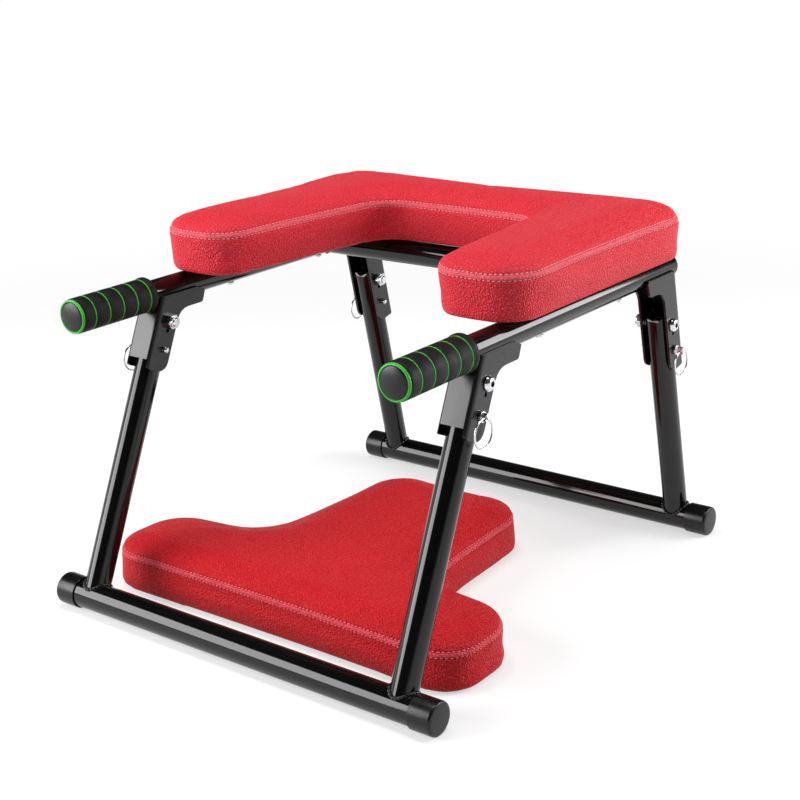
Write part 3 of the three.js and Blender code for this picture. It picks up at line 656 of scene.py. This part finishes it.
# short threads end to end along each row
def addStitches(name, loops, look, material):
    thread = bpy.data.meshes.new(name)
    single = bmesh.new()
    bmesh.ops.create_uvsphere(single, u_segments=look["stitchSides"], v_segments=look["stitchRings"],
                              radius=1)
    thick = look["stitchThick"]
    bmesh.ops.scale(single, vec=(thick, thick, look["stitchLength"] / 2), verts=single.verts[:])
    single.to_mesh(thread)
    single.free()
    bm = bmesh.new()
    for loop in loops:
        spots = [spot for spot, _ in loop] + [loop[0][0]]
        travelled = np.concatenate([[0], np.cumsum([(b - a).length for a, b in zip(spots, spots[1:])])])
        count = int(travelled[-1] / look["stitchPitch"])
        for n in range(count):
            at = travelled[-1] * n / count
            k = min(int(np.searchsorted(travelled, at, side="right")) - 1, len(loop) - 1)
            share = (at - travelled[k]) / max(travelled[k + 1] - travelled[k], tiny)
            spot = spots[k].lerp(spots[k + 1], share) + loop[k][1] * thick * look["stitchOut"]
            way = (spots[min(k + 2, len(spots) - 1)] - spots[max(k - 1, 0)]).normalized()
            turn = way.to_track_quat("Z", "Y").to_matrix().to_4x4()
            before = len(bm.verts)
            bm.from_mesh(thread)
            bm.verts.ensure_lookup_table()
            bmesh.ops.transform(bm, matrix=Matrix.Translation(spot) @ turn, verts=bm.verts[before:])
    bpy.data.meshes.remove(thread)
    return placePiece(name, bm, material, look["slot"], look["node"], replaces=False, sharp=80)


def makePad(look):
    low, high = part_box(look["node"])
    seam = high.z - look["seamBelowTop"]
    leather = makeLeather(look["piece"] + "Leather", dict(look, seamMiddle=seam))
    bm = fromCad(look["node"])
    bmesh.ops.triangulate(bm, faces=bm.faces[:])
    bm.normal_update()
    shifts = []
    for v in bm.verts:
        share = min(1, max(0, (v.co.z - low.z - look["shrinkFrom"]) / look["shrinkOver"]))
        shifts.append((v, v.normal * -look["shrink"] * share))
    for v, shift in shifts:
        v.co += shift
    form = remeshed(bm, look["voxel"])
    inflated(form, look, low.z)
    finer = form.modifiers.new("finer", "SUBSURF")
    finer.levels = 1
    finer.render_levels = 1
    bm = bmesh.new()
    bm.from_mesh(evaluated(form).data)
    bpy.data.objects.remove(form)
    for _ in range(look["smoothTimes"]):
        upper = [v for v in bm.verts if v.co.z > low.z + look["smoothAbove"]]
        bmesh.ops.smooth_vert(bm, verts=upper, factor=look["smoothing"],
                              use_axis_x=True, use_axis_y=True, use_axis_z=True)
    loops = sewRows(bm, seam, look)
    pad = placePiece(look["piece"], bm, leather, look["slot"], look["node"], sharp=70)
    thread = makeThread(look["piece"] + "Thread", look["thread"])
    addStitches(look["piece"] + "Stitches", [loops[-1], loops[1]], look, thread)
    print(look["piece"], "ready", len(pad.data.polygons), "faces")


makePad(seatPad)
makePad(floorPad)

for node, material in (("seat_board", boardWood), ("floor_pad_base", gripCloth)):
    for slot in nodes[node].material_slots:
        slot.material = material

straightTube = {"wall": 0.0015, "edge": 0.0003, "steps": 56}


def makeStraightTube(name, node, axis, radius, look):
    half = halfAcross(node, axis)
    inner = radius - look["wall"]
    outline = [(inner, -half), (radius, -half), (radius, half), (inner, half)]
    bm = spun(outline, look["steps"], closed=True)
    softenEdges(bm, look["edge"])
    moved(bm, along({"x": xAxis, "y": yAxis}[axis]), middleOf(node))
    placePiece(name, bm, glossPaint, "gloss_black_paint", node, weighted=True)


for side in sides:
    node = f"{side}_handle_rail"
    makeStraightTube(f"{side}Rail", node, "y", halfAcross(node, "x"), straightTube)
for end in ends:
    node = f"{end}_floor_tube"
    makeStraightTube(f"{end}FloorTube", node, "x", halfAcross(node, "y"), straightTube)
print("straight tubes ready")

crossTube = {"wall": 0.0015, "steps": 56, "plain": 0.022}  # plain: from each end to the first ring of edges


# the tube between the rails, with its ends cut to fit round them
def makeCrossTube(look):
    node = "rear_cross_tube"
    radius = halfAcross(node, "y")
    reach = middleOf("right_handle_rail").x
    inner = radius - look["wall"]
    stops = [-reach, -reach + look["plain"], reach - look["plain"], reach]
    outline = [(inner, -reach)] + [(radius, stop) for stop in stops] + [(inner, reach)]
    bm = spun(outline, look["steps"], closed=True)
    rail = halfAcross("right_handle_rail", "x") + fitGap
    for sign in sides.values():
        bm = carved(bm, cutter(yAxis, rail, cutLength, (sign * reach, 0, 0), roundSteps))
    moved(bm, along(xAxis), middleOf(node))
    placePiece("crossTube", bm, glossPaint, "gloss_black_paint", node, weighted=True)


makeCrossTube(crossTube)

# The plate that shapes a leg reaches past its foot, in leg lengths, and is thick in tube radii.
# The plain stretches run from each end to the first ring of edges, and the sweep is in radians.
leg = {
    "wall": 0.0015, "steps": 56, "topPlain": 0.042, "footPlain": 0.03, "plateReach": 1.2,
    "plateThickness": 4, "sleeveSteps": 40, "pinRadius": 0.003, "pinSteps": 32, "pinDrop": 0.028,
    "pinSweep": 1.15, "slotSteps": 16, "bracketEdge": 0.0006, "bracketSegments": 3,
}


# a plate that stands along X with a round end about the origin
def roundEndedPlate(radius, reach, thickness):
    plate = bmesh.new()
    bmesh.ops.create_circle(plate, cap_ends=True, segments=roundSteps, radius=radius)
    bmesh.ops.translate(plate, vec=(reach, 0, 0), verts=[v for v in plate.verts if v.co.x > 0])
    bmesh.ops.solidify(plate, geom=plate.faces[:], thickness=thickness)
    middle = sum(v.co.z for v in plate.verts) / len(plate.verts)
    bmesh.ops.translate(plate, vec=(0, 0, -middle), verts=plate.verts[:])
    bmesh.ops.rotate(plate, cent=(0, 0, 0), matrix=quarterTurn, verts=plate.verts[:])
    bmesh.ops.recalc_face_normals(plate, faces=plate.faces[:])
    return plate


# the way that the lock pin takes through the leg when the leg folds
def pinSlot(pin, depth, look):
    slot = bmesh.new()
    bmesh.ops.create_grid(slot, x_segments=1, y_segments=1, size=1)
    bmesh.ops.scale(slot, vec=(pin, depth, 1), verts=slot.verts[:])
    bmesh.ops.translate(slot, vec=(look["pinDrop"], 0, 0), verts=slot.verts[:])
    everything = slot.verts[:] + slot.edges[:] + slot.faces[:]
    bmesh.ops.spin(slot, geom=everything, cent=(0, 0, 0), axis=(0, -1, 0), dvec=(0, 0, 0),
                   angle=look["pinSweep"], steps=look["slotSteps"], use_merge=False, use_duplicate=False)
    bmesh.ops.recalc_face_normals(slot, faces=slot.faces[:])
    return slot


# A leg lies along X from its pivot at the origin while it is cut: its top is rounded about the pivot,
# its foot fits round the floor tube, and the lock pin's way opens towards the bracket's web.
def makeLeg(end, side, look):
    node = f"{end}_{side}_leg"
    radius = halfAcross(node, "x")
    pivot = Vector(joints[f"{end}_leg_fold"]["pos_m"])
    pivot.x = middleOf(node).x
    foot = middleOf(f"{end}_floor_tube")
    foot.x = pivot.x
    length = (foot - pivot).length
    inner = radius - look["wall"]
    top = radius + fitGap
    stops = [-top, look["topPlain"], length - look["footPlain"], length]
    outline = [(inner, -top)] + [(radius, stop) for stop in stops] + [(inner, length)]
    bm = spun(outline, look["steps"], closed=True)
    plate = roundEndedPlate(top, length * look["plateReach"], look["plateThickness"] * radius)
    bm = carved(bm, plate, "INTERSECT")
    tube = halfAcross(f"{end}_floor_tube", "y") + fitGap
    sleeve = halfAcross(f"{end}_{side}_pivot_sleeve", "z") + fitGap
    pin = look["pinRadius"] + fitGap
    bm = carved(bm, cutter(yAxis, tube, cutLength, (length, 0, 0), roundSteps))
    bm = carved(bm, cutter(yAxis, sleeve, cutLength, (0, 0, 0), look["sleeveSteps"]))
    bm = carved(bm, cutter(yAxis, pin, cutLength, (look["pinDrop"], 0, 0), look["pinSteps"]))
    bm = carved(bm, pinSlot(pin, 2 * radius, look))
    moved(bm, along(foot - pivot), pivot)
    title = end + side.capitalize()
    placePiece(title + "Leg", bm, glossPaint, "gloss_black_paint", node, weighted=True)
    refined(title + "Bracket", f"{end}_{side}_bracket", satinPaint, "satin_black_paint", look["bracketEdge"],
            look["bracketSegments"])


for end in ends:
    for side in sides:
        makeLeg(end, side, leg)
print("legs and brackets ready")

# Crown points are steps in from the side and down from the end, and so is the lip at the open end.
endCap = {
    "wall": 0.0012, "end": 0.003, "crown": [(0.0035, 0), (0.0012, 0.0005), (0.0003, 0.0014), (0, 0.0028)],
    "lip": (0.0004, 0.0006), "steps": 56,
}


def makeEndCap(end, side, sign, look):
    node = f"{end}_{side}_end_cap"
    low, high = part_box(node)
    radius = (high.z - low.z) / 2
    length = high.x - low.x
    bore = radius - look["wall"]
    lipInset, lipHeight = look["lip"]
    outline = [(0, 0)] + [(radius - inset, -drop) for inset, drop in look["crown"]]
    outline += [(radius, -length + lipHeight), (radius - lipInset, -length), (bore, -length),
                (bore, -look["end"]), (0, -look["end"])]
    middle = middleOf(node)
    place = Vector((high.x if sign > 0 else low.x, middle.y, middle.z))
    bm = moved(spun(outline, look["steps"]), along(xAxis, sign), place)
    placePiece(end + side.capitalize() + "Cap", bm, capPlastic, "black_plastic", node, sharp=40,
               weighted=True)


for end in ends:
    for side, sign in sides.items():
        makeEndCap(end, side, sign, endCap)

# Flare points are steps out from the sleeve's side and forward from its rear end. Hoop points are steps
# out from its inner side or in from its outer side, and back from its face.
grip = {
    "bands": 5, "pitch": 0.0175, "under": 0.0003, "boreGap": 0.0002, "round": 0.0018, "corner": 0.0005,
    "groove": 0.0007, "lipWidth": 0.0005, "lipDrop": 0.0002,
    "flare": [(0, 0.007), (0.00054, 0.0056), (0.0009, 0.004), (0.0009, 0.0018), (0.0002, 0.0004),
              (-0.0012, 0)],
    "bandHalf": 0.00065, "bandRise": 0.0001, "bandDepth": 0.0012, "bandRound": 0.0003, "bandFlat": 0.4,
    "hoopInner": [(0, 0.0004), (0.0005, 0)], "hoopOuter": [(0.0009, 0.0001), (0.0003, 0.0005), (0, 0.0011)],
    "plugEdge": 0.0003, "steps": 64,
}


# the foam sleeve with its grooves and flared rear end, and a rubber band in each groove
def makeGrip(side, look):
    node = f"{side}_handle_grip"
    low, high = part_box(node)
    centre = middleOf(node)
    radius = (high.x - low.x) / 2 - look["under"]
    length = high.y - low.y
    bore = halfAcross(f"{side}_handle_rail", "x") + look["boreGap"]
    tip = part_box(f"{side}_grip_end_plug")[0].y
    half = look["bandHalf"]
    bandPlaces = [tip + (n + 1) * look["pitch"] - low.y for n in range(look["bands"])]
    outline = [(bore, 0), (radius - look["round"], 0), (radius - look["corner"], look["corner"]),
               (radius, look["round"])]
    for at in bandPlaces:
        rim = half + look["lipWidth"]
        lip = half + look["lipDrop"]
        outline += [(radius, at - rim), (radius - look["lipDrop"], at - lip),
                    (radius - look["groove"], at - half), (radius - look["groove"], at + half),
                    (radius - look["lipDrop"], at + lip), (radius, at + rim)]
    outline += [(radius + out, length - back) for out, back in look["flare"]] + [(bore, length)]
    place = Vector((centre.x, low.y, centre.z))
    bm = moved(spun(outline, look["steps"], closed=True), along(yAxis), place)
    placePiece(f"{side}Grip", bm, gripFoam, "black_foam", node, sharp=50)
    face = radius + look["bandRise"]
    back = face - look["bandDepth"]
    shoulder = face - look["bandRound"]
    flat = half * look["bandFlat"]
    bandOutline = [(back, -half), (shoulder, -half), (face, -flat), (face, flat), (shoulder, half),
                   (back, half)]
    for n, at in enumerate(bandPlaces):
        band = spun(bandOutline, look["steps"], closed=True)
        moved(band, along(yAxis), Vector((centre.x, low.y + at, centre.z)))
        placePiece(f"{side}GripBand{n + 1}", band, bandRubber, "green_rubber", node, replaces=False, sharp=60)


# the green hoop round the black plug in the end of the grip
def makeGripEnd(side, look):
    ring = f"{side}_grip_end_ring"
    plug = f"{side}_grip_end_plug"
    low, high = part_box(ring)
    outer = (high.x - low.x) / 2
    wide = high.y - low.y
    inner = halfAcross(plug, "x") + look["boreGap"]
    outline = [(inner + out, back) for out, back in look["hoopInner"]]
    outline += [(outer - inset, back) for inset, back in look["hoopOuter"]] + [(outer, wide), (inner, wide)]
    centre = middleOf(ring)
    place = Vector((centre.x, low.y, centre.z))
    hoop = moved(spun(outline, look["steps"], closed=True), along(yAxis), place)
    placePiece(f"{side}GripHoop", hoop, bandRubber, "green_rubber", ring, sharp=45)
    refined(f"{side}GripPlug", plug, capPlastic, "black_plastic", look["plugEdge"])
    refined(f"{side}RailPlug", f"{side}_rail_rear_plug", capPlastic, "black_plastic", look["plugEdge"])


for side in sides:
    makeGrip(side, grip)
    makeGripEnd(side, grip)
print("caps and grips ready")

# The tip and rim are steps in from the side and along the bolt; the dome is in shares of radius and rise.
bolt = {
    "shank": 0.004, "tip": (0.0007, 0.0008), "rise": 0.0044, "rim": [(0.0003, 0), (0, 0.0004), (0, 0.0012)],
    "dome": [(0.95, 0.52), (0.82, 0.24), (0.66, 0.06), (0.56, 0)], "steps": 40, "edge": 0.00018, "sharp": 38,
    "socket": 0.0029, "socketDepth": 0.0026, "socketSides": 6,
    "shadeDiscGap": 0.0001, "shadeDiscThickness": 0.0012, "shadeDiscRise": 0.0007, "shadeDiscEdge": 0.0001,
}


# a button-head bolt with a hexagon socket, its head outwards, and a dark disc of painted shade in the socket
def makeBolt(end, side, sign, look):
    node = f"{end}_{side}_pivot_bolt"
    low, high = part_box(node)
    middle = middleOf(node)
    head = (high.z - low.z) / 2
    back = -(high.x - low.x)
    shank = look["shank"]
    rise = look["rise"]
    tipInset, tipLength = look["tip"]
    outline = [(0, back), (shank - tipInset, back), (shank, back + tipLength), (shank, -rise)]
    outline += [(head - inset, -rise + up) for inset, up in look["rim"]]
    outline += [(head * out, -rise * down) for out, down in look["dome"]] + [(0, 0)]
    socket = cutter(xAxis, look["socket"], 2 * look["socketDepth"], (0, 0, 0), look["socketSides"])
    bm = carved(spun(outline, look["steps"]), socket)
    softenEdges(bm, look["edge"], over=look["sharp"])
    turn = along(xAxis, sign)
    place = Vector((high.x if sign > 0 else low.x, middle.y, middle.z))
    title = end + side.capitalize()
    placePiece(title + "Bolt", moved(bm, turn, place), platedSteel, "bright_steel", node, weighted=True)
    # painted shade: a dark plastic disc at the socket's floor, where the deep socket is in shadow
    base = cutter(xAxis, look["socket"] - look["shadeDiscGap"], look["shadeDiscThickness"],
                  (-look["socketDepth"] + look["shadeDiscRise"], 0, 0), look["socketSides"])
    softenEdges(base, look["shadeDiscEdge"], 1)
    placePiece(title + "SocketShadeDisc", moved(base, turn, place), capPlastic, "black_plastic", node,
               replaces=False, weighted=True)


pullRing = {"wireSides": 14, "steps": 72}


def makePullRing(end, side, look):
    node = f"{end}_{side}_pull_ring"
    wire = halfAcross(node, "x")
    big = halfAcross(node, "z") - wire
    hoop = bmesh.new()
    bmesh.ops.create_circle(hoop, cap_ends=False, segments=look["wireSides"], radius=wire)
    bmesh.ops.rotate(hoop, cent=(0, 0, 0), matrix=quarterTurn, verts=hoop.verts[:])
    bmesh.ops.translate(hoop, vec=(0, 0, big), verts=hoop.verts[:])
    bmesh.ops.spin(hoop, geom=hoop.verts[:] + hoop.edges[:], cent=(0, 0, 0), axis=(1, 0, 0), dvec=(0, 0, 0),
                   angle=allAround, steps=look["steps"], use_merge=True, use_duplicate=False)
    sealed(hoop)
    bmesh.ops.translate(hoop, vec=middleOf(node), verts=hoop.verts[:])
    placePiece(end + side.capitalize() + "Ring", hoop, platedSteel, "bright_steel", node, sharp=80)


# each kind's name in the scene and the width of its softened edges
fasteners = {"lock_nut": ("Nut", 0.0004), "lock_pin": ("Pin", 0.00025), "pivot_sleeve": ("Sleeve", 0.0002),
             "seat_screw": ("SeatScrew", 0.0002)}
for end in ends:
    for side, sign in sides.items():
        makeBolt(end, side, sign, bolt)
        makePullRing(end, side, pullRing)
        for kind, (word, edge) in fasteners.items():
            title = end + side.capitalize() + word
            refined(title, f"{end}_{side}_{kind}", platedSteel, "bright_steel", edge)
print("fasteners ready")

weld = {"legWidth": 0.0017, "crossWidth": 0.0015, "points": 150, "ripple": 0.16, "ripplePoints": 5,
        "roundness": 3}


# where a tube of radius reach, coming along way, meets a tube of radius through that runs along across
def tubeOnTube(spot, way, across, reach, through, count):
    aside = way.cross(across).normalized()
    line = []
    for n in range(count):
        angle = allAround * n / count
        off = reach * math.sin(angle)
        lift = math.sqrt(max(through ** 2 - off ** 2, 0))
        line.append(spot + way * lift + across * (reach * math.cos(angle)) + aside * off)
    return line


# a weld bead: a rounded closed line through the points with a rippled width
def makeBead(name, points, width, look, node):
    curve = bpy.data.curves.new(name, "CURVE")
    curve.dimensions = "3D"
    curve.bevel_depth = width
    curve.bevel_resolution = look["roundness"]
    line = curve.splines.new("POLY")
    line.points.add(len(points) - 1)
    for n, (spot, point) in enumerate(zip(line.points, points)):
        spot.co = (*point, 1)
        spot.radius = 1 + look["ripple"] * math.sin(allAround * n / look["ripplePoints"])
    line.use_cyclic_u = True
    holder = addObject(name, curve)
    bm = bmesh.new()
    bm.from_mesh(bpy.data.meshes.new_from_object(evaluated(holder)))
    bpy.data.objects.remove(holder)
    placePiece(name, sealed(bm), glossPaint, "gloss_black_paint", node, replaces=False, sharp=80)


for end in ends:
    tube = middleOf(f"{end}_floor_tube")
    tubeRadius = halfAcross(f"{end}_floor_tube", "y") + fitGap
    for side in sides:
        node = f"{end}_{side}_leg"
        pivot = Vector(joints[f"{end}_leg_fold"]["pos_m"])
        way = Vector((0, pivot.y - tube.y, pivot.z - tube.z)).normalized()
        spot = Vector((middleOf(node).x, tube.y, tube.z))
        legRadius = halfAcross(node, "x") + fitGap
        line = tubeOnTube(spot, way, xAxis, legRadius, tubeRadius, weld["points"])
        makeBead(f"{end}{side.capitalize()}LegWeld", line, weld["legWidth"], weld, node)
for side, sign in sides.items():
    rail = f"{side}_handle_rail"
    spot = middleOf("rear_cross_tube")
    spot.x = middleOf(rail).x
    spot.z = middleOf(rail).z
    crossRadius = halfAcross("rear_cross_tube", "y") + fitGap
    railRadius = halfAcross(rail, "x") + fitGap
    line = tubeOnTube(spot, xAxis * -sign, yAxis, crossRadius, railRadius, weld["points"])
    makeBead(f"{side}CrossWeld", line, weld["crossWidth"], weld, "rear_cross_tube")
print("weld beads ready")


# whether a ray is the camera's own, and whether it is that or comes from a reflection or a clear body
def seenRays(tree):
    rays = addNode(tree, "ShaderNodeLightPath").outputs
    reflected = calc(tree, "MAXIMUM", rays["Is Glossy Ray"], rays["Is Transmission Ray"])
    return rays["Is Camera Ray"], calc(tree, "MAXIMUM", rays["Is Camera Ray"], reflected)


# The floor takes the object's shadow, glows a little to the eye and in reflections, and is white far off.
floor = {"radius": 30.0, "steps": 96, "colour": 0.5, "glow": 0.53, "near": 0.6, "far": 1.7}


def makeFloor(look):
    bm = bmesh.new()
    bmesh.ops.create_circle(bm, cap_ends=True, segments=look["steps"], radius=look["radius"])
    mesh = bpy.data.meshes.new("studioFloor")
    bm.to_mesh(mesh)
    bm.free()
    ground = addObject("studioFloor", mesh)
    material = bpy.data.materials.new("studioFloor")
    tree = emptyTree(material)
    plain = addNode(tree, "ShaderNodeBsdfDiffuse")
    feed(tree, plain, Color=(look["colour"], look["colour"], look["colour"], 1))
    seen = seenRays(tree)[1]
    glow = addNode(tree, "ShaderNodeEmission")
    feed(tree, glow, Color=(1, 1, 1, 1), Strength=calc(tree, "MULTIPLY", seen, look["glow"]))
    lit = addNode(tree, "ShaderNodeAddShader")
    feed(tree, lit, i0=plain.outputs[0], i1=glow.outputs[0])
    white = addNode(tree, "ShaderNodeEmission")
    feed(tree, white, Color=(1, 1, 1, 1), Strength=1.0)
    away = addNode(tree, "ShaderNodeVectorMath", operation="LENGTH")
    feed(tree, away, i0=objectPlace(tree))
    faded = ramped(tree, away.outputs["Value"], look["near"], look["far"])
    mix = addNode(tree, "ShaderNodeMixShader")
    feed(tree, mix, i0=calc(tree, "MULTIPLY", faded, seen), i1=lit.outputs[0], i2=white.outputs[0])
    feed(tree, addNode(tree, "ShaderNodeOutputMaterial"), Surface=mix.outputs[0])
    mesh.materials.append(material)


# White behind the object. Reflections see it up to a height, and the unlit ceiling above.
sky = {"soft": 0.24, "ceiling": 0.05, "fadeFrom": 0.05, "fadeTo": 0.2}


def makeSky(look):
    world = bpy.data.worlds.new("studio")
    bpy.context.scene.world = world
    tree = emptyTree(world)
    camera, seen = seenRays(tree)
    apart = addNode(tree, "ShaderNodeSeparateXYZ")
    feed(tree, apart, Vector=addNode(tree, "ShaderNodeTexCoord").outputs["Generated"])
    above = ramped(tree, apart.outputs["Z"], look["fadeFrom"], look["fadeTo"], 1.0, look["ceiling"])
    backdrop = calc(tree, "MAXIMUM", camera, above)
    gain = calc(tree, "SUBTRACT", backdrop, look["soft"])
    light = addNode(tree, "ShaderNodeBackground")
    feed(tree, light, Color=(1, 1, 1, 1), Strength=calc(tree, "MULTIPLY_ADD", seen, gain, look["soft"]))
    feed(tree, addNode(tree, "ShaderNodeOutputWorld"), Surface=light.outputs[0])


softboxes = {
    "topBox": {"place": (0.0, -0.1, 1.9), "aim": (0.0, 0.0, 0.2), "size": (1.3, 0.5), "radiance": 9.0},
    "leftBox": {"place": (-1.15, -1.35, 0.75), "aim": (0.0, 0.0, 0.2), "size": (1.15, 1.15),
                "radiance": 8.6},
    "rightBox": {"place": (1.3, 1.0, 0.7), "aim": (0.0, 0.0, 0.2), "size": (1.1, 0.8), "radiance": 8.8},
}


def makeSoftbox(name, look):
    wide, tall = look["size"]
    lamp = bpy.data.lights.new(name, "AREA")
    lamp.shape = "RECTANGLE"
    lamp.size = wide
    lamp.size_y = tall
    lamp.energy = look["radiance"] * math.pi * wide * tall
    box = addObject(name, lamp)
    box.location = look["place"]
    box.rotation_euler = (Vector(look["aim"]) - Vector(look["place"])).to_track_quat("-Z", "Y").to_euler()


makeFloor(floor)
makeSky(sky)
for name, look in softboxes.items():
    makeSoftbox(name, look)

# angles in degrees, the sensor in millimetres, and focal length and shift in pixels of the picture
view = {
    "place": (0.8789, -1.1403, 0.6616), "yaw": 38.03, "pitch": 17.39, "roll": -1.88, "focal": 1540.18,
    "shift": (16.34, -29.76), "picture": 800, "sensor": 36, "near": 0.02, "far": 100,
}


def makeCamera(look):
    lens = bpy.data.cameras.new("photoView")
    lens.sensor_width = look["sensor"]
    lens.lens = look["sensor"] * look["focal"] / look["picture"]
    lens.shift_x, lens.shift_y = (shift / look["picture"] for shift in look["shift"])
    lens.clip_start = look["near"]
    lens.clip_end = look["far"]
    yaw, pitch, roll = (math.radians(look[k]) for k in ("yaw", "pitch", "roll"))
    ahead = Vector((-math.sin(yaw) * math.cos(pitch), math.cos(yaw) * math.cos(pitch), -math.sin(pitch)))
    right = ahead.cross(zAxis).normalized()
    up = right.cross(ahead)
    turnedRight = right * math.cos(roll) + up * math.sin(roll)
    turnedUp = up * math.cos(roll) - right * math.sin(roll)
    camera = addObject("photoView", lens)
    turn = Matrix((turnedRight, turnedUp, -ahead)).transposed().to_4x4()
    camera.matrix_world = Matrix.Translation(look["place"]) @ turn
    bpy.context.scene.camera = camera


makeCamera(view)
bpy.context.scene.view_settings.view_transform = "Standard"
print("studio ready")
